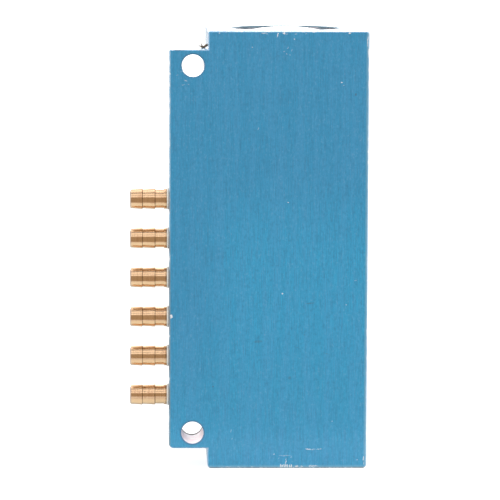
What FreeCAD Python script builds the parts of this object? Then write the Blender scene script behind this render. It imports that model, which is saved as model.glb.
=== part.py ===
import FreeCAD, Part
import Sketcher
import math
import os
import re

# Pneumatic distribution block: an anodised block with a long supply gallery, a slim mounting flange
# with two screw holes, and a row of brass hose barbs in the flange's edge. A domed plug closes the
# gallery at the top end, and a tapped port feeds it at the bottom end.
#
# Frame, in millimetres: Z is the gallery's axis, upwards from the bottom end face. The mounting face
# looks along -Y, the flange lies on the -X side, and the barbs point along -X.

SIZES = {
    # Milled block and its flange
    "body_width": 32.2,
    "body_depth": 32.0,
    "body_height": 88.4,
    "flange_reach": 7.8,
    "flange_thickness": 12.0,
    "flange_foot": 4.1,
    "flange_head_gap": 3.7,
    "step_root_radius": 0.6,
    "flange_foot_radius": 1.0,
    "body_foot_radius": 0.8,
    "body_head_radius": 0.6,
    "edge_break": 0.2,
    # Mounting holes
    "screw_hole_diameter": 4.5,
    "screw_hole_edge_inset": 4.75,
    "screw_hole_end_inset": 3.2,
    "screw_hole_break": 0.25,
    # Gallery, the seat of its plug, and the supply port
    "gallery_inset": 16.0,
    "gallery_diameter": 20.0,
    "gallery_floor": 12.8,
    "drill_point_angle": 118.0,
    "plug_seat_diameter": 22.2,
    "plug_seat_depth": 3.1,
    "plug_seat_break": 0.25,
    "port_diameter": 9.728,
    "port_break": 0.6,
    # Domed plug
    "plug_thickness": 1.6,
    "plug_rise": 1.8,
    "plug_rim_width": 0.7,
    "plug_clearance": 0.01,
    # Row of barbs and the drillings behind them
    "barb_count": 6,
    "barb_pitch": 8.0,
    "barb_first_height": 14.25,
    "barb_row_offset": 10.0,
    "branch_diameter": 2.5,
    "socket_depth": 5.4,
    "socket_break": 0.15,
    # Sealing washer under each barb
    "seal_thickness": 0.4,
    "seal_diameter": 4.3,
    # One barb fitting, from its shank to its tip
    "shank_diameter": 3.0,
    "shank_length": 5.0,
    "shank_break": 0.3,
    "thread_clearance": 0.02,
    "collar_diameter": 4.15,
    "collar_width": 0.6,
    "neck_diameter": 3.85,
    "neck_length": 1.8,
    "ridge_diameter": 4.25,
    "ridge_root_diameter": 3.92,
    "lower_ridge_length": 2.55,
    "tip_ridge_length": 2.55,
    "tip_break": 0.2,
    "barb_bore_diameter": 1.6,
    "barb_bore_break": 0.35,
}

# Radii and places that several pieces share, as formulas of the sizes
BODY_SIDE = "body_width / 2"
MOUNTING_FACE = "gallery_inset"
REAR_FACE = "(body_depth - gallery_inset)"
FLANGE_REAR = "(flange_thickness - gallery_inset)"
FLANGE_EDGE = "(body_width / 2 + flange_reach)"
FLANGE_HEAD = "(body_height - flange_head_gap)"
GALLERY_RADIUS = "gallery_diameter / 2"
PORT_RADIUS = "port_diameter / 2"
PLUG_SEAT_RADIUS = "plug_seat_diameter / 2"
PLUG_SEAT_HEIGHT = "(body_height - plug_seat_depth)"
PLUG_RADIUS = "(plug_seat_diameter / 2 - plug_clearance)"
BRANCH_RADIUS = "branch_diameter / 2"
SHANK_RADIUS = "shank_diameter / 2"
SOCKET_RADIUS = "(shank_diameter / 2 + thread_clearance)"
DRILL_SLOPE = "tan(drill_point_angle / 2 * 1deg)"

# How a sketch numbers the points of an edge and its own axes, and its origin as a point of an axis
EDGE_START, EDGE_END, ARC_CENTRE = range(1, 4)
HORIZONTAL_AXIS, VERTICAL_AXIS = range(-1, -3, -1)
SKETCH_ORIGIN = (HORIZONTAL_AXIS, EDGE_START)

# How edges are found: the tolerance on places, the step of a probe, and the least angle of a corner
POSITION_TOLERANCE = 1e-4
PROBE_STEP = 0.01
CORNER_ANGLE_DEGREES = 25


def make_sheet(doc):
    """The driving dimensions, one row each: the name in column A and the value in column B."""
    sheet = doc.addObject("Spreadsheet::Sheet", "Sizes")
    for row, (name, value) in enumerate(SIZES.items(), start=1):
        sheet.set(f"A{row}", name)
        sheet.set(f"B{row}", str(value))
        sheet.setAlias(f"B{row}", name)
    doc.recompute()


def value_of(doc, formula):
    return float(doc.Sizes.evalExpression(formula))


def from_sheet(formula):
    """The same formula with each size's name pointing at the sheet."""
    def cell(word):
        return f"Sizes.{word[0]}" if word[0] in SIZES else word[0]
    return re.sub(r"[a-z_]+", cell, formula)


def bind(item, **formulas):
    """Ties properties of an object to formulas of the sizes."""
    for name, formula in formulas.items():
        item.setExpression(name, from_sheet(formula))


def new_body(doc, name):
    body = doc.addObject("PartDesign::Body", name)
    body.Label = name
    return body


def new_feature(body, kind, name, **settings):
    feature = body.newObject(f"PartDesign::{kind}", name)
    for key, value in settings.items():
        setattr(feature, key, value)
    return feature


def new_sketch(body, name, role, **shift):
    """A sketch on one of the body's own origin planes, shifted along the sketch's own axes."""
    sketch = body.newObject("Sketcher::SketchObject", name)
    plane = next(item for item in body.Origin.OriginFeatures if item.Role == role)
    sketch.AttachmentSupport = [(plane, "")]
    sketch.MapMode = "FlatFace"
    for axis, formula in shift.items():
        sketch.setExpression(f"AttachmentOffset.Base.{axis}", from_sheet(formula))
    return sketch


def tie_size(sketch, kind, where, formula):
    """A dimension of a sketch that follows a formula of the sizes."""
    value = value_of(sketch.Document, formula)
    index = sketch.addConstraint(Sketcher.Constraint(kind, *where, value))
    sketch.renameConstraint(index, f"size_{index}")
    sketch.setExpression(f"Constraints.size_{index}", from_sheet(formula))


def tie_point(sketch, edge, end, place):
    """A vertex of a sketch tied to its two formulas, measured from the sketch's origin."""
    across, up = place
    for kind, formula, axis in (("DistanceX", across, VERTICAL_AXIS), ("DistanceY", up, HORIZONTAL_AXIS)):
        if formula == "0":
            sketch.addConstraint(Sketcher.Constraint("PointOnObject", edge, end, axis))
        else:
            tie_size(sketch, kind, (*SKETCH_ORIGIN, edge, end), formula)


def point_of(sketch, place):
    x, y = (value_of(sketch.Document, formula) for formula in place)
    return FreeCAD.Vector(x, y, 0)


def crown_arc(low, top):
    """An arc centred on the vertical axis, from a point on its flank up to its crown."""
    rise = top.y - low.y
    radius = (low.x ** 2 + rise ** 2) / (2 * rise)
    centre = FreeCAD.Vector(0, top.y - radius, 0)
    circle = Part.Circle(centre, FreeCAD.Vector(0, 0, 1), radius)
    return Part.ArcOfCircle(circle, math.atan2(low.y - centre.y, low.x), math.pi / 2)


def draw_outline(sketch, corners, crowns=()):
    """A closed outline through corners given as formulas. Edge number N starts at corner N, and the
    edges named in crowns are arcs centred on the vertical axis."""
    points = [point_of(sketch, corner) for corner in corners]
    starts = []
    ends = []
    for number, start in enumerate(points):
        end = points[(number + 1) % len(points)]
        is_crown = number in crowns
        if is_crown:
            edge = sketch.addGeometry(crown_arc(*sorted((start, end), key=lambda point: point.y)))
            sketch.addConstraint(Sketcher.Constraint("PointOnObject", edge, ARC_CENTRE, VERTICAL_AXIS))
        else:
            edge = sketch.addGeometry(Part.LineSegment(start, end))
        is_reversed = is_crown and end.y < start.y
        starts.append((edge, EDGE_END if is_reversed else EDGE_START))
        ends.append((edge, EDGE_START if is_reversed else EDGE_END))
    for number, corner in enumerate(corners):
        sketch.addConstraint(Sketcher.Constraint("Coincident", *ends[number - 1], *starts[number]))
        tie_point(sketch, *starts[number], corner)


def draw_rectangle(sketch, left, right, bottom, top):
    draw_outline(sketch, [(left, bottom), (right, bottom), (right, top), (left, top)])


def draw_circle(sketch, centre, diameter):
    radius = value_of(sketch.Document, diameter) / 2
    edge = sketch.addGeometry(Part.Circle(point_of(sketch, centre), FreeCAD.Vector(0, 0, 1), radius))
    tie_point(sketch, edge, ARC_CENTRE, centre)
    tie_size(sketch, "Diameter", (edge,), diameter)


def edges_at(shape, **place):
    """Names of the straight edges whose ends both lie at the given coordinates."""
    names = []
    for number, edge in enumerate(shape.Edges, start=1):
        offsets = [getattr(vertex.Point, axis) - value
                   for vertex in edge.Vertexes for axis, value in place.items()]
        if isinstance(edge.Curve, Part.Line) and max(map(abs, offsets)) < POSITION_TOLERANCE:
            names.append(f"Edge{number}")
    return names


def circles_of(shape, radius):
    return [f"Edge{number}" for number, edge in enumerate(shape.Edges, start=1)
            if isinstance(edge.Curve, Part.Circle) and edge.Closed
            and abs(edge.Curve.Radius - radius) < POSITION_TOLERANCE]


def outer_corner_edges(shape):
    """Names of the edges where two faces meet at an outer corner, such as a milled block's rims."""
    names = []
    for number, edge in enumerate(shape.Edges, start=1):
        middle = edge.valueAt((edge.FirstParameter + edge.LastParameter) / 2)
        normals = [face.normalAt(*face.Surface.parameter(middle))
                   for face in shape.ancestorsOfType(edge, Part.Face)]
        turn_between = math.degrees(normals[0].getAngle(normals[1])) if len(normals) == 2 else 0
        if turn_between > CORNER_ANGLE_DEGREES:
            probe = middle + (normals[0] - normals[1]) * PROBE_STEP
            if not shape.isInside(probe, POSITION_TOLERANCE, False):
                names.append(f"Edge{number}")
    return names


def dress_edges(body, kind, name, edges, **sizes):
    """A fillet or a chamfer on the named edges of the body as it stands."""
    feature = new_feature(body, kind, name, Base=(body.Tip, edges))
    bind(feature, **sizes)
    body.Document.recompute()
    return feature


def cut_round(body, name, sketch, axis):
    """A full turn of a section about one of its sketch's axes, taken out of the body."""
    return new_feature(body, "Groove", name, Profile=sketch, ReferenceAxis=(sketch, [axis]), Angle=360)


def turn(body, name, sketch):
    return new_feature(body, "Revolution", name, Profile=sketch,
                       ReferenceAxis=(sketch, ["V_Axis"]), Angle=360)


def mill_outer_form(body):
    """The stepped bar, with its flange shortened at both ends."""
    section = new_sketch(body, "bar_section", "XY_Plane")
    draw_outline(section, [
        (f"-{FLANGE_EDGE}", f"-{MOUNTING_FACE}"),
        (BODY_SIDE, f"-{MOUNTING_FACE}"),
        (BODY_SIDE, REAR_FACE),
        (f"-{BODY_SIDE}", REAR_FACE),
        (f"-{BODY_SIDE}", FLANGE_REAR),
        (f"-{FLANGE_EDGE}", FLANGE_REAR),
    ])
    bar = new_feature(body, "Pad", "bar", Profile=section)
    bind(bar, Length="body_height")

    notch_outlines = new_sketch(body, "notch_outlines", "XZ_Plane")
    for bottom, top in (("0", "flange_foot"), (FLANGE_HEAD, "body_height")):
        draw_rectangle(notch_outlines, f"-{FLANGE_EDGE}", f"-{BODY_SIDE}", bottom, top)
    new_feature(body, "Pocket", "notches", Profile=notch_outlines, Type="ThroughAll", Midplane=True)
    body.Document.recompute()


def round_corners(body):
    """The outline's rounded corners. The flange's head and the body's head on its side are sharp."""
    corners = [
        ("flange_foot_corner", "flange_foot_radius", [(f"-{FLANGE_EDGE}", "flange_foot")]),
        ("body_foot_corners", "body_foot_radius", [(f"-{BODY_SIDE}", "0"), (BODY_SIDE, "0")]),
        ("body_head_corner", "body_head_radius", [(BODY_SIDE, "body_height")]),
    ]
    for name, radius, places in corners:
        edges = []
        for x, z in places:
            edges += edges_at(body.Tip.Shape, x=value_of(body.Document, x), z=value_of(body.Document, z))
        dress_edges(body, "Fillet", name, edges, Radius=radius)
    dress_edges(body, "Chamfer", "broken_edges", outer_corner_edges(body.Tip.Shape), Size="edge_break")


def round_step_root(body):
    """The cutter's radius where the flange's rear face meets the body's side."""
    step_root = edges_at(body.Tip.Shape, x=-value_of(body.Document, BODY_SIDE),
                         y=value_of(body.Document, FLANGE_REAR))
    dress_edges(body, "Fillet", "step_root", step_root, Radius="step_root_radius")


def drill_screw_holes(body):
    circles = new_sketch(body, "screw_hole_circles", "XZ_Plane")
    across = f"screw_hole_edge_inset - {FLANGE_EDGE}"
    for height in ("flange_foot + screw_hole_end_inset", f"{FLANGE_HEAD} - screw_hole_end_inset"):
        draw_circle(circles, (across, height), "screw_hole_diameter")
    new_feature(body, "Pocket", "screw_holes", Profile=circles, Type="ThroughAll", Midplane=True)
    body.Document.recompute()
    rims = circles_of(body.Tip.Shape, value_of(body.Document, "screw_hole_diameter / 2"))
    dress_edges(body, "Chamfer", "screw_hole_rims", rims, Size="screw_hole_break")


def bore_gallery(body):
    """The gallery from the plug's seat down to the drill point, which opens into the supply port."""
    section = new_sketch(body, "gallery_section", "XZ_Plane")
    cone_at_port = f"gallery_floor - ({GALLERY_RADIUS} - {PORT_RADIUS}) / {DRILL_SLOPE}"
    draw_outline(section, [
        ("0", "0"),
        (f"{PORT_RADIUS} + port_break", "0"),
        (PORT_RADIUS, "port_break"),
        (PORT_RADIUS, cone_at_port),
        (GALLERY_RADIUS, "gallery_floor"),
        (GALLERY_RADIUS, PLUG_SEAT_HEIGHT),
        (PLUG_SEAT_RADIUS, PLUG_SEAT_HEIGHT),
        (PLUG_SEAT_RADIUS, "body_height - plug_seat_break"),
        (f"{PLUG_SEAT_RADIUS} + plug_seat_break", "body_height"),
        ("0", "body_height"),
    ])
    cut_round(body, "gallery", section, "V_Axis")


def drill_branches(body):
    """One drilling per barb, from its socket in the flange's edge until it is level with the gallery's
    axis, so that it opens into the gallery's wall."""
    section = new_sketch(body, "branch_section", "XZ_Plane",
                         x=f"-{FLANGE_EDGE}", y="barb_first_height", z="barb_row_offset")
    draw_outline(section, [
        ("0", "0"),
        (FLANGE_EDGE, "0"),
        (f"{FLANGE_EDGE} - {BRANCH_RADIUS} / {DRILL_SLOPE}", BRANCH_RADIUS),
        (f"socket_depth + ({SOCKET_RADIUS} - {BRANCH_RADIUS}) / {DRILL_SLOPE}", BRANCH_RADIUS),
        ("socket_depth", SOCKET_RADIUS),
        ("socket_break", SOCKET_RADIUS),
        ("0", f"{SOCKET_RADIUS} + socket_break"),
    ])
    branch = cut_round(body, "branch", section, "H_Axis")
    row = new_feature(body, "LinearPattern", "branches", Originals=[branch],
                      Direction=(section, ["V_Axis"]), Mode="Spacing")
    bind(row, Offset="barb_pitch", Occurrences="barb_count")
    body.Tip = row


def make_block(doc):
    body = new_body(doc, "distribution_block")
    mill_outer_form(body)
    round_corners(body)
    round_step_root(body)
    drill_screw_holes(body)
    bore_gallery(body)
    drill_branches(body)
    return body


def make_plug(doc):
    """A pressed disc, domed outwards, with a flat rim that stands on the shoulder of its seat."""
    body = new_body(doc, "gallery_plug")
    section = new_sketch(body, "plug_section", "XZ_Plane")
    draw_outline(section, [
        (f"{PLUG_RADIUS} - plug_rim_width", "0"),
        (PLUG_RADIUS, "0"),
        (PLUG_RADIUS, "plug_thickness"),
        ("0", "plug_thickness + plug_rise"),
        ("0", "plug_rise"),
    ], crowns=(2, 4))
    turn(body, "plug_disc", section)
    body.setExpression("Placement.Base.z", from_sheet(PLUG_SEAT_HEIGHT))
    return body


def stand_on_flange_edge(body, number, lift):
    """Turns a fitting's own Z axis outwards and puts it on the flange's edge, at its place in the row."""
    body.Placement.Rotation = FreeCAD.Rotation(FreeCAD.Vector(0, 1, 0), -90)
    place = {
        "x": f"-{FLANGE_EDGE} - {lift}",
        "y": "-barb_row_offset",
        "z": f"barb_first_height + {number - 1} * barb_pitch",
    }
    for axis, formula in place.items():
        body.setExpression(f"Placement.Base.{axis}", from_sheet(formula))


def make_seal(doc, number):
    """A flat washer between the block and one barb's collar."""
    body = new_body(doc, f"barb_seal_{number}")
    rings = new_sketch(body, f"seal_rings_{number}", "XY_Plane")
    draw_circle(rings, ("0", "0"), "seal_diameter")
    draw_circle(rings, ("0", "0"), f"2 * {SOCKET_RADIUS}")
    washer = new_feature(body, "Pad", f"washer_{number}", Profile=rings)
    bind(washer, Length="seal_thickness")
    stand_on_flange_edge(body, number, "0")
    return body


def make_barb(doc, number):
    """One turned fitting, drawn from its collar's seat: the shank below it, the hose end above it."""
    body = new_body(doc, f"hose_barb_{number}")
    section = new_sketch(body, f"barb_section_{number}", "XZ_Plane")
    bore = "barb_bore_diameter / 2"
    neck_end = "collar_width + neck_length"
    ridge_end = f"{neck_end} + lower_ridge_length"
    tip = f"({ridge_end} + tip_ridge_length)"
    draw_outline(section, [
        (bore, "-shank_length"),
        (f"{SHANK_RADIUS} - shank_break", "-shank_length"),
        (SHANK_RADIUS, "shank_break - shank_length"),
        (SHANK_RADIUS, "0"),
        ("collar_diameter / 2", "0"),
        ("collar_diameter / 2", "collar_width"),
        ("neck_diameter / 2", "collar_width"),
        ("neck_diameter / 2", neck_end),
        ("ridge_diameter / 2", neck_end),
        ("ridge_root_diameter / 2", ridge_end),
        ("ridge_diameter / 2", ridge_end),
        ("ridge_root_diameter / 2", f"{tip} - tip_break"),
        ("ridge_root_diameter / 2 - tip_break", tip),
        (f"{bore} + barb_bore_break", tip),
        (bore, f"{tip} - barb_bore_break"),
    ])
    turn(body, f"barb_turning_{number}", section)
    stand_on_flange_edge(body, number, "seal_thickness")
    return body


def check_document(doc):
    for item in doc.Objects:
        if "Invalid" in item.State or "Error" in item.State:
            raise RuntimeError(f"{item.Label} is {item.State}")
        takes_away = item.TypeId in ("PartDesign::Pocket", "PartDesign::Groove", "PartDesign::Chamfer")
        if takes_away and item.Shape.Volume >= item.BaseFeature.Shape.Volume:
            raise RuntimeError(f"{item.Label} cuts nothing")


def check_piece(piece):
    shape = piece.Shape
    if shape.isNull() or not shape.isValid() or len(shape.Solids) != 1:
        raise RuntimeError(f"{piece.Label} isn't one valid solid")


def write_pieces(pieces):
    os.makedirs("parts", exist_ok=True)
    for piece in pieces:
        piece.Shape.exportStep(os.path.join("parts", f"{piece.Label}.step"))
        print(f"{piece.Label}: {piece.Shape.Volume:.2f} cubic mm")


def main():
    doc = FreeCAD.newDocument("distribution_block_assembly")
    make_sheet(doc)
    pieces = [make_block(doc), make_plug(doc)]
    for number in range(1, SIZES["barb_count"] + 1):
        pieces.append(make_barb(doc, number))
        pieces.append(make_seal(doc, number))
    doc.recompute()
    check_document(doc)
    for piece in pieces:
        check_piece(piece)
    write_pieces(pieces)


main()
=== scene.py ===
"""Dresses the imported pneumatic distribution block: finishes, thread, dirt, studio and camera.

Everything is in metres in the part's own frame: the origin is the centre of the supply port's mouth
in the bottom end face, +Z runs up the gallery and the photographed mounting face looks along -Y.
"""
import math

import bmesh
import bpy
from mathutils import Matrix, Vector, noise


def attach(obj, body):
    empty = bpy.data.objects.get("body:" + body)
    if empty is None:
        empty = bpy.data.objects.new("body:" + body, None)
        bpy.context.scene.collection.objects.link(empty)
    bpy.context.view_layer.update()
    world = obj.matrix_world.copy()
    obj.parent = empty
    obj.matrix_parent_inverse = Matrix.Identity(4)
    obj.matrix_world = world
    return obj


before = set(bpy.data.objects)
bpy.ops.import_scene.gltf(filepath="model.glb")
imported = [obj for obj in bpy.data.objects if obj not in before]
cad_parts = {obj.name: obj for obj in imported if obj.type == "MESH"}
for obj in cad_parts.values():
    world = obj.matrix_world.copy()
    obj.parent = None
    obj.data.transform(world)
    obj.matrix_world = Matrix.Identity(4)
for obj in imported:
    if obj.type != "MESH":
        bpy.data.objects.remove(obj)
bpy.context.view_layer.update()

MM = 0.001

# Places on the block that the finishes and the extra pieces need, in millimetres
MOUNTING_FACE_Y = -16.0
FLANGE_EDGE_X = -23.9
FLANGE_REAR_Y = -4.0
FLANGE_HEAD_Z = 84.7
BODY_SIDE_X = 16.1
BODY_HEIGHT = 88.4
SCREW_HOLE_X = -19.15
SCREW_HOLE_HEIGHTS = (7.3, 81.5)
SCREW_HOLE_RADIUS = 2.25
SCREW_HOLE_BREAK = 0.25
GALLERY_WALL_RADIUS = 11.3
BARB_FIRST_Z = 14.25
BARB_LAST_Z = 54.25
BARB_PITCH = 8.0
BARB_STEPS_X = (-24.45, -26.70, -29.25)
BARB_TIP_X = -31.8

# G1/8 thread of the supply port, in millimetres
THREAD_MAJOR_RADIUS = 4.864
THREAD_MINOR_RADIUS = 4.283
THREAD_PITCH = 0.907
THREAD_START_Z = 0.75
THREAD_TURNS = 9
THREAD_FADE_TURNS = 0.5
THREAD_STEPS_PER_TURN = 48
THREAD_CREST_SHARE = 0.16
THREAD_ROOT_SHARE = 0.84
THREAD_SINK = 0.02

# Marks on the mounting face: x, z, half length, half width in millimetres, tilt in degrees, strength
UPRIGHT = 90
CLEAR, PLAIN, SOFT, FAINT = 0.95, 0.7, 0.45, 0.3
PALE_MARKS = (
    (-2.23, 87.62, 0.42, 0.09, 84, CLEAR),
    (-5.05, 88.02, 0.50, 0.12, 0, SOFT),
    (-4.35, 87.90, 0.22, 0.10, 0, SOFT),
    (-0.98, 88.02, 0.30, 0.17, -6, CLEAR),
    (-0.45, 87.82, 0.16, 0.10, 20, SOFT),
    (1.40, 87.85, 0.26, 0.10, 10, SOFT),
    (1.06, 86.85, 0.14, 0.11, 40, PLAIN),
    (3.40, 87.95, 0.20, 0.08, 0, FAINT),
    (-13.92, 88.05, 0.14, 0.14, 60, PLAIN),
    (12.06, 88.02, 0.24, 0.13, 0, CLEAR),
    (15.74, 86.40, 1.00, 0.09, UPRIGHT, PLAIN),
    (-7.34, 85.20, 0.12, 0.10, 0, SOFT),
    (-0.20, 85.10, 0.26, 0.07, 58, FAINT),
    (0.55, 84.60, 0.22, 0.07, 66, FAINT),
    (-0.95, 84.40, 0.20, 0.07, 20, FAINT),
    (-0.45, 83.90, 0.16, 0.07, 70, FAINT),
    (0.25, 83.70, 0.12, 0.08, 0, FAINT),
    (10.65, 78.20, 0.16, 0.12, 0, CLEAR),
    (10.95, 77.60, 0.14, 0.07, 60, FAINT),
    (-6.10, 68.90, 0.30, 0.06, 62, FAINT),
    (-21.40, 80.40, 0.20, 0.07, 25, FAINT),
    (-22.30, 79.60, 0.22, 0.07, 25, FAINT),
    (-20.60, 78.50, 0.30, 0.09, -22, SOFT),
    (-21.10, 77.70, 0.34, 0.07, 10, FAINT),
    (-20.10, 77.80, 0.16, 0.07, 0, FAINT),
    (-23.80, 79.90, 0.22, 0.16, UPRIGHT, CLEAR),
    (-23.45, 31.00, 0.42, 0.22, 80, CLEAR),
    (4.35, 3.92, 0.62, 0.07, -7, PLAIN),
    (5.35, 3.86, 0.42, 0.06, 8, SOFT),
    (6.50, 3.92, 0.55, 0.05, 3, SOFT),
    (-0.22, 1.45, 0.62, 0.06, 88, PLAIN),
    (-0.40, 2.60, 1.30, 0.05, 0, FAINT),
    (0.85, 2.25, 0.12, 0.09, 60, FAINT),
    (-1.60, 2.10, 0.12, 0.09, 60, FAINT),
    (1.95, 0.42, 0.30, 0.14, 12, PLAIN),
    (3.05, 0.40, 0.24, 0.10, -20, SOFT),
    (5.85, 0.48, 0.60, 0.10, -6, SOFT),
    (15.50, 1.95, 0.50, 0.07, 86, PLAIN),
    (15.55, 0.95, 0.30, 0.07, 80, SOFT),
    (14.20, 1.75, 0.16, 0.10, 40, FAINT),
    (-11.90, 0.30, 0.60, 0.09, 0, SOFT),
    (-9.80, 0.32, 0.30, 0.09, 0, SOFT),
    (-7.10, 0.30, 0.30, 0.08, 0, SOFT),
    (-2.60, 2.90, 0.14, 0.11, 0, SOFT),
    (13.66, 38.30, 0.30, 0.07, 20, FAINT),
    (11.79, 33.40, 0.12, 0.09, 0, SOFT),
    (-1.08, 35.64, 0.13, 0.12, 0, PLAIN),
    (0.02, 54.10, 0.13, 0.11, 0, PLAIN),
    (-11.35, 7.65, 0.30, 0.10, 75, FAINT),
    (-11.10, 6.10, 0.16, 0.08, 80, FAINT),
    (9.10, 9.60, 0.14, 0.12, 0, FAINT),
)
DARK_MARKS = (
    (-21.90, 84.66, 1.20, 0.22, 0, SOFT),
    (-17.60, 84.62, 0.90, 0.14, 0, FAINT),
    (13.45, 75.80, 0.22, 0.20, 0, SOFT),
    (-15.05, 16.75, 0.16, 0.14, 0, CLEAR),
    (4.55, 33.70, 0.90, 0.16, 4, FAINT),
    (3.39, 27.30, 0.16, 0.11, 30, FAINT),
    (1.99, 24.70, 0.16, 0.12, 70, FAINT),
    (8.04, 23.40, 0.70, 0.06, -10, FAINT),
    (1.40, 19.95, 0.14, 0.11, 0, FAINT),
    (0.48, 18.55, 0.34, 0.24, 60, FAINT),
    (-6.00, 25.90, 0.90, 0.28, 5, FAINT),
)
# A mark's depth in millimetres, its spread beyond its size, the levels between which it fades, and its torn
# outline: tears per millimetre and their width in millimetres
MARK_DEPTH = 0.7
MARK_SPREAD = 1.5
MARK_FADE = (0.22, 0.45)
MARK_TEARS_PER_MM = 3.4
MARK_TEAR = 0.5

# Chatter of an edge struck sideways, as rows of upright teeth along the lower edge: the first tooth's x,
# the number of teeth, their half height and their strength
TOOTH_PITCH = 0.36
TOOTH_ROWS = ((-1.28, 7, 0.36, CLEAR), (4.55, 4, 0.20, PLAIN))
TOOTH_HALF_WIDTH = 0.10
TOOTH_MIDDLE_Z = 0.46

# Shards of the dirt crumb in the upper notch: from, to and half thickness in millimetres
CRUMB_SHARDS = (
    ((-17.50, -9.0, 84.88), (-16.90, -9.0, 85.06), 0.27),
    ((-17.20, -8.9, 84.80), (-16.40, -9.1, 84.92), 0.17),
    ((-16.80, -9.0, 84.85), (-16.10, -8.9, 85.46), 0.26),
    ((-17.30, -9.1, 84.95), (-17.95, -9.2, 85.14), 0.11),
    ((-17.25, -8.9, 84.95), (-17.36, -8.8, 85.66), 0.08),
    ((-16.90, -8.4, 84.80), (-16.30, -7.9, 85.20), 0.16),
    ((-17.30, -9.5, 84.78), (-16.80, -9.8, 84.90), 0.10),
)
CRUMB_CLEARANCE = 0.005
CRUMB_TAPER = 0.55
# The shards' coarse and fine lumps: their height as a share of the thickness, how many fit in it, and how
# strongly each shard's own place shifts them
COARSE_LUMP, COARSE_LUMPS, COARSE_SHIFT = 0.45, 2.3, 5
FINE_LUMP, FINE_LUMPS, FINE_SHIFT = 0.30, 7.0, 3

# Noises of the block: cells per millimetre along x, y and z, then detail and roughness where they aren't
# the usual ones
BRUSHED_LINES = ((7.0, 7.0, 0.22), 4.0, 0.7)
FINE_LINES = ((26.0, 26.0, 0.5), 2.0)
WIDE_BANDS = ((0.9, 0.9, 0.05),)
SOFT_MOTTLE = ((2.6, 2.6, 1.7), 4.0, 0.7)
BROKEN_PATCHES = ((1.4, 1.4, 0.55), 4.0, 0.7)
TOOL_RINGS = ((0.6, 0.6, 9.0),)
EVEN_GRAIN = ((14.0, 14.0, 14.0),)

# Between these a tone comes in over the block: places in millimetres, and for chamfers the largest part of
# the normal
MIDDLE_TONE_Z = (62.0, 42.0)
MIDDLE_TONE_X = (-20.0, -8.0)
LOWER_TONE_Z = (34.0, 4.0)
DARK_EDGE_Z = (50.0, 40.0)
CHAMFER_NORMAL = (0.985, 0.90)

# Strength of the painted shadow at the barbs' feet
FOOT_SHADE = 0.75

# Half the width of a round area's soft rim, and how far the painted rims and walls of the screw holes reach
# past the real ones, in millimetres
SOFT_RIM = 0.06
RIM_ROOM = 0.06
WALL_ROOM = 0.08

# Colours, linear
ANODISED_UPPER = (0.016, 0.278, 0.520)
ANODISED_MIDDLE = (0.014, 0.336, 0.600)
ANODISED_LOWER = (0.016, 0.299, 0.522)
ANODISED_SHADE = (0.014, 0.165, 0.320)
ANODISED_TINT = (0.055, 0.300, 0.560)
EDGE_TONE = (0.190, 0.400, 0.530)
DARK_EDGE_TONE = (0.120, 0.190, 0.230)
BREAK_TONE = (0.030, 0.170, 0.300)
WORN_EDGE = (0.290, 0.450, 0.620)
BARE_METAL = (0.700, 0.705, 0.715)
# Screw hole walls painted near white as painted light, and their far rims painted dark as painted shade
BORE_LIT_WALL = (0.960, 0.780, 0.830)
BORE_WALL_HIGHLIGHT = (0.990, 0.940, 0.950)
BORE_RIM_SHADE = (0.070, 0.055, 0.052)
# Dark bare metal of the gallery, darkened further as painted shade
SEAT_METAL_AND_SHADE = (0.100, 0.170, 0.220)
SEAT_BRIGHT = (0.640, 0.530, 0.560)
# Dark grime of the stains, also laid as painted shadow at the barbs' feet and at the seal's joint
GRIME_AND_SHADE = (0.060, 0.070, 0.080)
BRASS = (0.655, 0.420, 0.248)
BRASS_BRIGHT = (0.755, 0.508, 0.316)
BRASS_TARNISH = (0.600, 0.335, 0.195)
BRASS_PALE_REFLECTION = (0.880, 0.620, 0.360)
BRASS_UNDERSIDE_SHADE = (0.400, 0.300, 0.190)
BRASS_SHADOW = (0.160, 0.085, 0.040)
BRASS_TIP_REFLECTION = (0.520, 0.470, 0.440)
STEEL = (0.580, 0.580, 0.570)
STEEL_BRIGHT = (0.760, 0.760, 0.750)
STEEL_SCUFF = (0.360, 0.350, 0.340)
SEAL_CREAM = (0.880, 0.780, 0.660)
SEAL_PALE = (0.950, 0.890, 0.800)
DIRT = (0.160, 0.108, 0.072)
DIRT_DUST = (0.400, 0.285, 0.195)

# The barbs' painted reflections, a pale flank and a darker underside, come in between these upward parts of
# the normal
PALE_FLANK_REFLECTION = (-0.24, -0.50)
UNDERSIDE_SHADE = (-0.70, -0.84)

# Studio, in metres and watts: each softbox with its place, width, height and power
SOFTBOXES = {
    "softbox_front_low": ((0.0, -1.035, 0.655), 1.6, 0.36, 2.0),
    "softbox_front_high": ((0.0, -0.675, 1.037), 1.6, 0.52, 2.8),
    "softbox_top": ((0.0, 0.16, 1.09), 1.5, 0.72, 4.2),
    "softbox_left": ((-1.05, -0.40, 0.45), 0.8, 0.9, 4.3),
    "softbox_right": ((1.05, -0.40, 0.45), 0.8, 0.9, 4.3),
    "softbox_behind": ((0.0, 1.50, 0.55), 2.4, 1.1, 16.0),
}
STUDIO_MIDDLE = (-0.003, 0.0, 0.045)

# World: its level all round, and that of the room and the ceiling, which only metal sees. These come in
# between two shares of a ray's direction, counted away from the camera or upwards
WORLD_LEVEL = 0.86
ROOM_LEVEL = 0.52
ROOM_COLOUR = (1.0, 0.83, 0.61)
ROOM_AWAY = (0.05, -0.35)
ROOM_HEAD = (0.42, 0.32)
ROOM_FOOT = (-0.74, -0.56)
CEILING_LEVEL = 0.35
CEILING_AWAY = (0.32, 0.12)
CEILING_FOOT = (0.32, 0.42)

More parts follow.
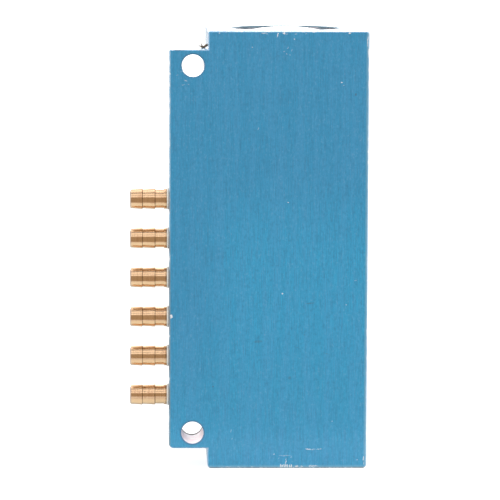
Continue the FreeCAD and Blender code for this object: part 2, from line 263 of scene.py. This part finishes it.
# Floor: its reach in metres, and the albedo and glow that it has for light, for metal and for the camera
FLOOR_HALF_WIDTH = 12.0
FLOOR_FRONT_Y = -0.055
FLOOR_REAR_Y = 14.0
FLOOR_Z = 0.00002
FLOOR_FOR_LIGHT = (0.80, 0.0)
FLOOR_FOR_METAL = (0.50, 0.30)
FLOOR_FOR_CAMERA = (0.30, 0.86)

# Camera: its place in millimetres, its angles in degrees, its lens and sensor in millimetres
CAMERA_PLACE = (-28.36, -666.70, 117.52)
CAMERA_PITCH = 6.401
CAMERA_PAN = 1.824
CAMERA_ROLL = 0.215
CAMERA_LENS = 234.7
CAMERA_SENSOR = 36.0
CAMERA_NEAR, CAMERA_FAR = 0.05, 40.0


class Graph:
    """Short names for the nodes of one shader tree."""

    def __init__(self, tree):
        self.tree = tree
        tree.nodes.clear()

    def node(self, kind, **settings):
        made = self.tree.nodes.new(kind)
        for key, value in settings.items():
            setattr(made, key, value)
        return made

    def feed(self, socket, value):
        if isinstance(value, bpy.types.NodeSocket):
            self.tree.links.new(value, socket)
        elif socket.type == "RGBA":
            socket.default_value = (*value, 1)
        else:
            socket.default_value = value

    def math(self, operation, *values):
        made = self.node("ShaderNodeMath", operation=operation)
        for socket, value in zip(made.inputs, values):
            self.feed(socket, value)
        return made.outputs[0]

    def highest(self, first, *others):
        for other in others:
            first = self.math("MAXIMUM", first, other)
        return first

    def product(self, first, *others):
        for other in others:
            first = self.math("MULTIPLY", first, other)
        return first

    def vector_math(self, operation, *vectors):
        made = self.node("ShaderNodeVectorMath", operation=operation)
        for socket, vector in zip(made.inputs, vectors):
            self.feed(socket, vector)
        return made.outputs["Value" if operation == "LENGTH" else "Vector"]

    def span(self, value, low, high, to_low=0.0, to_high=1.0):
        """value from low..high mapped to to_low..to_high, and held beyond them."""
        made = self.node("ShaderNodeMapRange", interpolation_type="SMOOTHSTEP")
        for key, setting in (("Value", value), ("From Min", low), ("From Max", high),
                             ("To Min", to_low), ("To Max", to_high)):
            self.feed(made.inputs[key], setting)
        return made.outputs["Result"]

    def mix(self, factor, a, b):
        made = self.node("ShaderNodeMix", data_type="RGBA")
        sockets = [socket for socket in made.inputs if socket.enabled]
        for socket, value in zip(sockets, (factor, a, b)):
            self.feed(socket, value)
        return next(socket for socket in made.outputs if socket.enabled)

    def either(self, factor, shader_a, shader_b):
        made = self.node("ShaderNodeMixShader")
        for socket, value in zip(made.inputs, (factor, shader_a, shader_b)):
            self.feed(socket, value)
        return made.outputs[0]

    def split(self, vector):
        made = self.node("ShaderNodeSeparateXYZ")
        self.feed(made.inputs[0], vector)
        return made.outputs

    def join(self, x, y, z):
        made = self.node("ShaderNodeCombineXYZ")
        for socket, value in zip(made.inputs, (x, y, z)):
            self.feed(socket, value)
        return made.outputs[0]

    def seen_directly(self):
        """1 for rays by which the camera, metal or glass sees a surface."""
        path = self.node("ShaderNodeLightPath").outputs
        return self.highest(path["Is Camera Ray"], path["Is Glossy Ray"], path["Is Transmission Ray"])


class Finish(Graph):
    """A material with one principled shader."""

    def __init__(self, name):
        self.material = bpy.data.materials.new(name)
        self.material.use_nodes = True
        super().__init__(self.material.node_tree)
        self.shader = self.node("ShaderNodeBsdfPrincipled")
        output = self.node("ShaderNodeOutputMaterial")
        self.feed(output.inputs["Surface"], self.shader.outputs[0])

    def place(self):
        """Coordinates on the part, in millimetres."""
        made = self.node("ShaderNodeVectorMath", operation="SCALE")
        self.feed(made.inputs[0], self.node("ShaderNodeTexCoord").outputs["Object"])
        self.feed(made.inputs["Scale"], 1 / MM)
        return made.outputs["Vector"]

    def facing(self):
        return self.node("ShaderNodeNewGeometry").outputs["True Normal"]

    def noise(self, vector, stretch, detail=3.0, rough=0.6):
        """Noise whose cells are about 1/stretch millimetres along each axis."""
        made = self.node("ShaderNodeTexNoise")
        self.feed(made.inputs["Vector"], self.vector_math("MULTIPLY", vector, stretch))
        for key, setting in (("Scale", 1.0), ("Detail", detail), ("Roughness", rough)):
            self.feed(made.inputs[key], setting)
        return made.outputs["Fac"]

    def torn(self, vector, per_mm, amount):
        """The vector shaken by up to half the amount, in millimetres, so that marks get torn outlines."""
        made = self.node("ShaderNodeTexNoise")
        for key, setting in (("Vector", vector), ("Scale", per_mm), ("Detail", 3.0)):
            self.feed(made.inputs[key], setting)
        centred = self.vector_math("SUBTRACT", made.outputs["Color"], (0.5, 0.5, 0.5))
        return self.vector_math("ADD", vector, self.vector_math("MULTIPLY", centred, (amount, 0, amount)))

    def spot(self, vector, centre, reach, tilt=0.0):
        """1 at the centre, falling to 0 at the reach along each axis, in millimetres, tilted about Y."""
        made = self.node("ShaderNodeTexGradient", gradient_type="SPHERICAL")
        made.texture_mapping.vector_type = "TEXTURE"
        made.texture_mapping.translation = centre
        made.texture_mapping.rotation = (0, -math.radians(tilt), 0)
        made.texture_mapping.scale = reach
        self.feed(made.inputs["Vector"], vector)
        return made.outputs["Fac"]

    def marks(self, vector, table):
        """Highest strength of the table's marks at each point near the mounting face."""
        strengths = []
        for strength in sorted({row[-1] for row in table}):
            spots = [self.spot(vector, (x, MOUNTING_FACE_Y, z),
                               (half_length * MARK_SPREAD, MARK_DEPTH, half_width * MARK_SPREAD), tilt)
                     for x, z, half_length, half_width, tilt, own in table if own == strength]
            strengths.append(self.span(self.highest(*spots), *MARK_FADE, 0.0, strength))
        return self.highest(*strengths)

    def round_area(self, across, along, centre, radius):
        """1 within the radius of an axis that runs through the centre, in millimetres."""
        offset = self.join(self.math("SUBTRACT", across, centre[0]),
                           self.math("SUBTRACT", along, centre[1]), 0.0)
        return self.span(self.vector_math("LENGTH", offset), radius + SOFT_RIM, radius - SOFT_RIM)

    def bump(self, height, depth, strength=0.5):
        """Bump from a 0..1 height of the given depth in millimetres."""
        made = self.node("ShaderNodeBump")
        for key, setting in (("Strength", strength), ("Distance", depth * MM), ("Height", height)):
            self.feed(made.inputs[key], setting)
        self.feed(self.shader.inputs["Normal"], made.outputs[0])

    def finish(self, **inputs):
        for key, value in inputs.items():
            self.feed(self.shader.inputs[key.replace("_", " ").title()], value)
        return self.material


def chatter_marks():
    """The struck edge's teeth as rows of the table of pale marks."""
    return tuple((start + TOOTH_PITCH * i, TOOTH_MIDDLE_Z, half_height, TOOTH_HALF_WIDTH, UPRIGHT, strength)
                 for start, count, half_height, strength in TOOTH_ROWS for i in range(count))


class AnodisedBlock(Finish):
    """Blue anodising over brushed aluminium, worn on its edges and chipped, with bare bores, and painted
    light and shade in the screw holes, the gallery's seat and at the barbs' feet.
    """

    def __init__(self):
        super().__init__("anodised_aluminium_blue")
        self.at = self.place()
        self.x, self.y, self.z = self.split(self.at)
        self.lines = self.noise(self.at, *BRUSHED_LINES)
        self.fine = self.noise(self.at, *FINE_LINES)
        self.broken = self.noise(self.at, *BROKEN_PATCHES)
        self.rings = self.noise(self.at, *TOOL_RINGS)
        self.by_face = self.span(self.y, MOUNTING_FACE_Y + 0.50, MOUNTING_FACE_Y + 0.25)
        flattest = self.highest(*self.split(self.vector_math("ABSOLUTE", self.facing())))
        self.chamfer = self.span(flattest, *CHAMFER_NORMAL)
        self.colour = ANODISED_UPPER

    def paint(self, area, colour):
        """Lays a colour over what is painted so far, where the area is 1."""
        self.colour = self.mix(area, self.colour, colour)

    def brush(self):
        """The anodising's own tones, with brushed lines, wider bands and a soft mottle."""
        bands = self.noise(self.at, *WIDE_BANDS)
        mottle = self.noise(self.at, *SOFT_MOTTLE)
        middle = self.product(self.span(self.z, *MIDDLE_TONE_Z), self.span(self.x, *MIDDLE_TONE_X))
        self.paint(middle, ANODISED_MIDDLE)
        self.paint(self.span(self.z, *LOWER_TONE_Z), ANODISED_LOWER)
        self.paint(self.span(self.lines, 0.60, 0.30, 0.0, 0.64), ANODISED_SHADE)
        self.paint(self.span(bands, 0.40, 0.64, 0.0, 0.28), ANODISED_TINT)
        self.paint(self.span(mottle, 0.50, 0.30, 0.0, 0.46), ANODISED_SHADE)
        self.paint(self.span(mottle, 0.52, 0.74, 0.0, 0.16), WORN_EDGE)
        self.paint(self.span(self.fine, 0.52, 0.78, 0.0, 0.15), WORN_EDGE)

    def wear_edges(self):
        """Rubbed edges of the mounting face, worn chamfers, and a darker tone on two of those edges."""
        flange_edge = self.span(self.x, FLANGE_EDGE_X + 0.40, FLANGE_EDGE_X + 0.10)
        body_edge = self.span(self.x, BODY_SIDE_X - 0.75, BODY_SIDE_X - 0.10)
        rubbed = self.highest(flange_edge, body_edge, self.span(self.z, 0.85, 0.10))
        patchy = self.span(self.broken, 0.20, 0.60, 0.45, 0.95)
        self.paint(self.product(rubbed, self.by_face, patchy), EDGE_TONE)
        patchy = self.span(self.broken, 0.25, 0.60, 0.35, 0.90)
        self.paint(self.product(self.chamfer, patchy), WORN_EDGE)
        # Darker on the flange's edge low down and along the bottom edge
        darkened = self.highest(self.product(flange_edge, self.span(self.z, *DARK_EDGE_Z)),
                              self.span(self.z, 0.35, 0.15))
        patchy = self.span(self.broken, 0.70, 0.35, 0.45, 0.95)
        self.paint(self.product(darkened, self.by_face, patchy), DARK_EDGE_TONE)

    def chip(self):
        """Chips and scratches down to bare metal, and dark stains. Gives the bare and the dirty areas."""
        ragged = self.torn(self.at, MARK_TEARS_PER_MM, MARK_TEAR)
        right_edge = self.product(self.span(self.x, BODY_SIDE_X - 0.42, BODY_SIDE_X - 0.22),
                                  self.span(self.z, 80.5, 83.0), self.by_face)
        bare_edge = self.product(self.highest(self.chamfer, right_edge),
                                 self.span(self.broken, 0.54, 0.66, 0.0, 0.7))
        bare = self.highest(bare_edge, self.marks(ragged, PALE_MARKS + chatter_marks()))
        dirty = self.marks(ragged, DARK_MARKS)
        self.paint(bare, BARE_METAL)
        self.paint(dirty, GRIME_AND_SHADE)
        return bare, dirty

    def both_screw_holes(self, radius):
        """1 within the radius of either screw hole's axis."""
        return self.highest(*(self.round_area(self.x, self.z, (SCREW_HOLE_X, height), radius)
                              for height in SCREW_HOLE_HEIGHTS))

    def drill_screw_holes(self):
        """Dull rims, walls painted near white as painted light, and far rims painted dark as painted shade.
        Gives the rims, the walls and the far rims.
        """
        rims = self.both_screw_holes(SCREW_HOLE_RADIUS + SCREW_HOLE_BREAK + RIM_ROOM)
        behind_break = self.span(self.y, MOUNTING_FACE_Y + SCREW_HOLE_BREAK - 0.02,
                                 MOUNTING_FACE_Y + SCREW_HOLE_BREAK + 0.04)
        walls = self.product(self.both_screw_holes(SCREW_HOLE_RADIUS + WALL_ROOM), behind_break)
        shaded_far_rims = self.product(rims, self.span(self.y, FLANGE_REAR_Y - 1.70, FLANGE_REAR_Y - 1.40))
        self.paint(rims, BREAK_TONE)
        # Painted light: the bare walls near white, as if brightly lit
        self.paint(walls, self.mix(self.span(self.rings, 0.35, 0.65), BORE_LIT_WALL, BORE_WALL_HIGHLIGHT))
        # Painted shade: the far rims dark
        self.paint(shaded_far_rims, BORE_RIM_SHADE)
        return rims, walls, shaded_far_rims

    def bore_gallery(self):
        """Bare walls with tool rings in a dark tone that is partly painted shade, and the plug's seat rim
        in that dark tone, partly bare metal and partly painted shade. Gives both areas.
        """
        walls = self.product(self.round_area(self.x, self.y, (0.0, 0.0), GALLERY_WALL_RADIUS),
                             self.span(self.z, 0.02, 0.08),
                             self.span(self.z, BODY_HEIGHT - 0.04, BODY_HEIGHT - 0.12))
        shaded_seat_rim = self.product(self.round_area(self.x, self.y, (0.0, 0.0), GALLERY_WALL_RADIUS + 0.12),
                                self.span(self.z, BODY_HEIGHT - 0.32, BODY_HEIGHT - 0.26))
        self.paint(walls, self.mix(self.span(self.rings, 0.35, 0.80), SEAT_METAL_AND_SHADE, SEAT_BRIGHT))
        # Painted shade: the seat's rim dark
        self.paint(shaded_seat_rim, SEAT_METAL_AND_SHADE)
        return walls, shaded_seat_rim

    def shade_by_barbs(self):
        """Painted shadow on the flange's edge at the foot of each barb."""
        off_axis = self.math("PINGPONG", self.math("SUBTRACT", self.z, BARB_FIRST_Z), BARB_PITCH / 2)
        feet = self.product(self.span(off_axis, 2.6, 1.7),
                            self.span(self.z, BARB_LAST_Z + 3.75, BARB_LAST_Z + 1.75),
                            self.span(self.z, BARB_FIRST_Z - 3.75, BARB_FIRST_Z - 2.25), self.by_face,
                            self.span(self.x, FLANGE_EDGE_X + 0.28, FLANGE_EDGE_X + 0.08))
        # Painted shadow where each barb meets the flange
        self.paint(self.product(feet, FOOT_SHADE), GRIME_AND_SHADE)

    def raise_lines(self, bare):
        """Relief of the brushed lines and the grain, in which bare chips lie a little deeper."""
        grain = self.noise(self.at, *EVEN_GRAIN)
        height = self.math("MULTIPLY_ADD", self.lines, 0.6, self.product(self.fine, 0.25))
        height = self.math("MULTIPLY_ADD", grain, 0.15, height)
        self.bump(self.math("MULTIPLY_ADD", bare, -0.8, height), 0.02)

    def complete(self):
        """Paints all areas in order, from the anodising up, and gives the finished material."""
        self.brush()
        self.wear_edges()
        bare, dirty = self.chip()
        rims, lit_hole_walls, shaded_far_rims = self.drill_screw_holes()
        gallery, shaded_seat_rim = self.bore_gallery()
        self.shade_by_barbs()
        self.raise_lines(bare)

        uncoated = self.highest(self.product(rims, self.math("SUBTRACT", 1.0, lit_hole_walls)),
                                self.product(lit_hole_walls, self.span(self.z, 60.0, 40.0, 0.0, 0.80)),
                                shaded_far_rims, dirty, gallery, shaded_seat_rim)
        rough = self.span(self.lines, 0.30, 0.70, 0.50, 0.38)
        rough = self.math("MULTIPLY_ADD", self.highest(bare, gallery), -0.06, rough)
        rough = self.math("MULTIPLY_ADD", shaded_far_rims, 0.45, rough)
        metallic = self.math("MULTIPLY_ADD", gallery, 0.50, 0.35)
        metallic = self.math("MULTIPLY_ADD", bare, -0.25, metallic)
        metallic = self.math("MULTIPLY_ADD", rims, -0.35, metallic)
        return self.finish(base_color=self.colour, roughness=rough, metallic=metallic,
                           coat_weight=self.math("SUBTRACT", 1.0, uncoated), coat_roughness=0.16)


def turned_brass():
    """Turned brass with fine tool rings and a little tarnish, with painted reflection as a paler lower
    flank, a darker underside and a greyer tip, and painted shadow in the steps.
    """
    graph = Finish("turned_brass")
    place = graph.place()
    along = graph.split(place)[0]
    up = graph.split(graph.facing())[2]
    rings = graph.noise(place, (11.0, 0.05, 0.05), 4.0, 0.7)
    tarnish = graph.noise(place, (0.8, 0.8, 0.8), 4.0)
    colour = graph.mix(graph.span(rings, 0.35, 0.65), BRASS, BRASS_BRIGHT)
    colour = graph.mix(graph.span(tarnish, 0.50, 0.68, 0.0, 0.45), colour, BRASS_TARNISH)
    # Painted reflection: paler on the lower flank and darker on the underside, by which way the surface
    # faces
    colour = graph.mix(graph.span(up, *PALE_FLANK_REFLECTION, 0.0, 0.90), colour, BRASS_PALE_REFLECTION)
    colour = graph.mix(graph.span(up, *UNDERSIDE_SHADE, 0.0, 0.60), colour, BRASS_UNDERSIDE_SHADE)
    # Painted reflection: the tip greyer and cooler
    tip_reflection = graph.span(along, BARB_TIP_X + 0.45, BARB_TIP_X + 0.10, 0.0, 0.7)
    colour = graph.mix(tip_reflection, colour, BRASS_TIP_REFLECTION)
    # Painted shadow in each step between the barb's sections
    for step in BARB_STEPS_X:
        away = graph.math("ABSOLUTE", graph.math("SUBTRACT", along, step))
        in_step = graph.product(graph.span(away, 0.13, 0.03), graph.span(tarnish, 0.40, 0.60, 0.55, 0.90))
        colour = graph.mix(in_step, colour, BRASS_SHADOW)
    graph.bump(rings, 0.008)
    return graph.finish(base_color=colour, metallic=1.0,
                        roughness=graph.span(tarnish, 0.3, 0.7, 0.13, 0.24))


def plug_steel():
    """Pressed steel disc with spun rings about the gallery's axis and light handling scuffs."""
    graph = Finish("plug_steel")
    place = graph.place()
    x, y, _ = graph.split(place)
    radius = graph.vector_math("LENGTH", graph.join(x, y, 0.0))
    spun = graph.noise(graph.join(radius, 0.0, 0.0), (7.0, 1.0, 1.0), 4.0, 0.7)
    scuff = graph.noise(place, (1.1, 0.4, 1.0), 4.0, 0.65)
    colour = graph.mix(graph.span(spun, 0.35, 0.65), STEEL, STEEL_BRIGHT)
    colour = graph.mix(graph.span(scuff, 0.56, 0.70, 0.0, 0.35), colour, STEEL_SCUFF)
    graph.bump(graph.math("MULTIPLY_ADD", scuff, 0.4, spun), 0.015)
    return graph.finish(base_color=colour, metallic=1.0,
                        roughness=graph.span(scuff, 0.3, 0.7, 0.16, 0.32))


def seal_plastic():
    """Cream plastic with a soft mottle, and a dark band where it meets the flange, partly grime and partly
    painted shadow in the gap.
    """
    graph = Finish("seal_plastic")
    place = graph.place()
    mottle = graph.noise(place, (2.5, 2.5, 2.5))
    colour = graph.mix(graph.span(mottle, 0.35, 0.65), SEAL_CREAM, SEAL_PALE)
    # Dark band at the flange: partly grime, partly painted shadow in the gap
    joint_shadow_and_grime = graph.span(graph.split(place)[0], FLANGE_EDGE_X - 0.16, FLANGE_EDGE_X - 0.09, 0.0, 0.65)
    colour = graph.mix(joint_shadow_and_grime, colour, GRIME_AND_SHADE)
    graph.bump(mottle, 0.02, 0.4)
    return graph.finish(base_color=colour, roughness=graph.span(mottle, 0.3, 0.7, 0.45, 0.60))


def dry_dirt():
    """Dark brown dried dirt with paler dust on its grain."""
    graph = Finish("dry_dirt")
    grit = graph.noise(graph.place(), (7.0, 7.0, 7.0), 4.0, 0.7)
    graph.bump(grit, 0.08, 1.0)
    return graph.finish(base_color=graph.mix(graph.span(grit, 0.40, 0.62), DIRT, DIRT_DUST),
                        roughness=graph.span(grit, 0.3, 0.7, 0.75, 0.95))


def cut_thread():
    """Cut aluminium of the port's thread, with tool lines along the helix."""
    graph = Finish("cut_thread")
    lines = graph.noise(graph.place(), (0.5, 0.5, 16.0))
    graph.bump(lines, 0.015)
    return graph.finish(base_color=graph.mix(graph.span(lines, 0.35, 0.65), SEAT_BRIGHT, BARE_METAL),
                        metallic=0.9, roughness=graph.span(lines, 0.3, 0.7, 0.28, 0.40))


def dress_cad_nodes():
    """Gives each CAD node its finish."""
    finishes = {"distribution_block": AnodisedBlock().complete(), "gallery_plug": plug_steel()}
    brass, seal = turned_brass(), seal_plastic()
    for name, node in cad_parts.items():
        finish = finishes.get(name) or (brass if name.startswith("hose_barb") else seal)
        node.data.materials.clear()
        node.data.materials.append(finish)


def add_to_block(name, mesh, material):
    """A piece that lies on the block and rides with it."""
    piece = bpy.data.objects.new(name, mesh)
    bpy.context.scene.collection.objects.link(piece)
    mesh.materials.append(material)
    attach(piece, "root")


def port_thread_mesh():
    """One ridge wound up the port's bore, tapering out at both ends."""
    mesh = bpy.data.meshes.new("port_thread")
    built = bmesh.new()
    steps = THREAD_TURNS * THREAD_STEPS_PER_TURN
    wall = THREAD_MAJOR_RADIUS + THREAD_SINK
    half_root = THREAD_PITCH * THREAD_ROOT_SHARE / 2
    half_crest = THREAD_PITCH * THREAD_CREST_SHARE / 2
    rows = []
    for step in range(steps + 1):
        turn = step / THREAD_STEPS_PER_TURN
        fade = min(1.0, turn / THREAD_FADE_TURNS, (THREAD_TURNS - turn) / THREAD_FADE_TURNS)
        crest = THREAD_MAJOR_RADIUS - (THREAD_MAJOR_RADIUS - THREAD_MINOR_RADIUS) * fade
        spin = Matrix.Rotation(2 * math.pi * turn, 3, "Z")
        middle = THREAD_START_Z + THREAD_PITCH * turn
        profile = ((wall, -half_root), (crest, -half_crest), (crest, half_crest), (wall, half_root))
        rows.append([built.verts.new(spin @ Vector((radius, 0, middle + rise)) * MM)
                     for radius, rise in profile])
    for before, after in zip(rows, rows[1:]):
        for i in range(len(before) - 1):
            built.faces.new((before[i], before[i + 1], after[i + 1], after[i]))
    bmesh.ops.recalc_face_normals(built, faces=built.faces)
    built.to_mesh(mesh)
    built.free()
    return mesh


def dirt_crumb_mesh():
    """A ragged dried crumb of short shards, wedged in the corner of the flange's head and the body."""
    mesh = bpy.data.meshes.new("dirt_crumb")
    built = bmesh.new()
    for start, end, thickness in CRUMB_SHARDS:
        start, end = Vector(start), Vector(end)
        turn = (end - start).to_track_quat("Z", "Y")
        reach = Vector((thickness, thickness, (end - start).length / 2))
        for vertex in bmesh.ops.create_icosphere(built, subdivisions=3, radius=1.0)["verts"]:
            ragged = 1 + COARSE_LUMP * noise.noise(vertex.co * COARSE_LUMPS + start * COARSE_SHIFT)
            ragged += FINE_LUMP * noise.noise(vertex.co * FINE_LUMPS + end * FINE_SHIFT)
            taper = 1 - CRUMB_TAPER * max(vertex.co.z, 0)
            shape = vertex.co * reach * ragged * Vector((taper, taper, 1))
            vertex.co = (start + end) / 2 + turn @ shape
            vertex.co.x = min(vertex.co.x, -BODY_SIDE_X - CRUMB_CLEARANCE)
            vertex.co.z = max(vertex.co.z, FLANGE_HEAD_Z + CRUMB_CLEARANCE)
    bmesh.ops.scale(built, vec=(MM, MM, MM), verts=built.verts)
    built.to_mesh(mesh)
    built.free()
    return mesh


def floor_surface(graph, albedo, glow):
    """A matt surface that scatters the albedo and adds the glow."""
    matt = graph.node("ShaderNodeBsdfDiffuse")
    light = graph.node("ShaderNodeEmission")
    both = graph.node("ShaderNodeAddShader")
    graph.feed(matt.inputs["Color"], (albedo, albedo, albedo))
    graph.feed(light.inputs["Strength"], glow)
    graph.feed(both.inputs[0], matt.outputs[0])
    graph.feed(both.inputs[1], light.outputs[0])
    return both.outputs[0]


def pale_floor():
    """White with soft shadows from above, and clear from below, so that the underside can be seen."""
    material = bpy.data.materials.new("pale_floor")
    material.use_nodes = True
    graph = Graph(material.node_tree)
    camera_ray = graph.node("ShaderNodeLightPath").outputs["Is Camera Ray"]
    seen = graph.either(camera_ray, floor_surface(graph, *FLOOR_FOR_METAL),
                        floor_surface(graph, *FLOOR_FOR_CAMERA))
    top = graph.either(graph.seen_directly(), floor_surface(graph, *FLOOR_FOR_LIGHT), seen)
    below = graph.node("ShaderNodeNewGeometry").outputs["Backfacing"]
    clear = graph.node("ShaderNodeBsdfTransparent").outputs[0]
    output = graph.node("ShaderNodeOutputMaterial")
    graph.feed(output.inputs["Surface"], graph.either(below, top, clear))
    return material


def lay_floor():
    """One sheet under and behind the block."""
    corners = [(-FLOOR_HALF_WIDTH, FLOOR_FRONT_Y, FLOOR_Z), (FLOOR_HALF_WIDTH, FLOOR_FRONT_Y, FLOOR_Z),
               (FLOOR_HALF_WIDTH, FLOOR_REAR_Y, FLOOR_Z), (-FLOOR_HALF_WIDTH, FLOOR_REAR_Y, FLOOR_Z)]
    mesh = bpy.data.meshes.new("floor")
    mesh.from_pydata(corners, [], [(0, 1, 2, 3)])
    mesh.materials.append(pale_floor())
    floor = bpy.data.objects.new("floor", mesh)
    bpy.context.scene.collection.objects.link(floor)


def light_world():
    """White all round, but metal sees a dim warm room and a dim ceiling on the camera's side."""
    world = bpy.data.worlds.new("studio")
    bpy.context.scene.world = world
    world.use_nodes = True
    graph = Graph(world.node_tree)
    _, away, upwards = graph.split(graph.node("ShaderNodeTexCoord").outputs["Generated"])
    glossy_ray = graph.node("ShaderNodeLightPath").outputs["Is Glossy Ray"]
    room = graph.product(glossy_ray, graph.span(away, *ROOM_AWAY), graph.span(upwards, *ROOM_HEAD),
                         graph.span(upwards, *ROOM_FOOT))
    ceiling = graph.product(glossy_ray, graph.span(away, *CEILING_AWAY), graph.span(upwards, *CEILING_FOOT))
    level = graph.math("MULTIPLY_ADD", graph.seen_directly(), 1 - WORLD_LEVEL, WORLD_LEVEL)
    level = graph.product(level, graph.span(room, 0.0, 1.0, 1.0, ROOM_LEVEL),
                          graph.span(ceiling, 0.0, 1.0, 1.0, CEILING_LEVEL))
    background = graph.node("ShaderNodeBackground")
    graph.feed(background.inputs["Strength"], level)
    graph.feed(background.inputs["Color"], graph.mix(room, (1.0, 1.0, 1.0), ROOM_COLOUR))
    graph.feed(graph.node("ShaderNodeOutputWorld").inputs["Surface"], background.outputs[0])


def add_softbox(name, place, width, height, power):
    lamp = bpy.data.lights.new(name, "AREA")
    lamp.shape, lamp.size, lamp.size_y, lamp.energy = "RECTANGLE", width, height, power
    box = bpy.data.objects.new(name, lamp)
    box.location = place
    aim = Vector(STUDIO_MIDDLE) - box.location
    box.rotation_euler = aim.to_track_quat("-Z", "Y").to_euler()
    bpy.context.scene.collection.objects.link(box)


def light_studio():
    """Softboxes with gaps between them, which the barbs mirror as thin lines."""
    for name, (place, width, height, power) in SOFTBOXES.items():
        add_softbox(name, place, width, height, power)


def set_camera():
    """The photograph's view: nearly square to the mounting face, a little raised, long lens."""
    pitch, pan, roll = (math.radians(angle) for angle in (CAMERA_PITCH, CAMERA_PAN, CAMERA_ROLL))
    forward = Vector((math.sin(pan) * math.cos(pitch), math.cos(pan) * math.cos(pitch), -math.sin(pitch)))
    level = Vector((math.cos(pan), -math.sin(pan), 0))
    upright = level.cross(forward)
    right = level * math.cos(roll) + upright * math.sin(roll)
    up = upright * math.cos(roll) - level * math.sin(roll)
    data = bpy.data.cameras.new("camera")
    data.lens, data.sensor_width = CAMERA_LENS, CAMERA_SENSOR
    data.clip_start, data.clip_end = CAMERA_NEAR, CAMERA_FAR
    camera = bpy.data.objects.new("camera", data)
    axes = Matrix((right, up, -forward)).transposed().to_4x4()
    camera.matrix_world = Matrix.Translation(Vector(CAMERA_PLACE) * MM) @ axes
    bpy.context.scene.collection.objects.link(camera)
    bpy.context.scene.camera = camera


dress_cad_nodes()
add_to_block("port_thread", port_thread_mesh(), cut_thread())
add_to_block("dirt_crumb", dirt_crumb_mesh(), dry_dirt())
lay_floor()
light_world()
light_studio()
set_camera()
bpy.context.scene.view_settings.view_transform = "Standard"
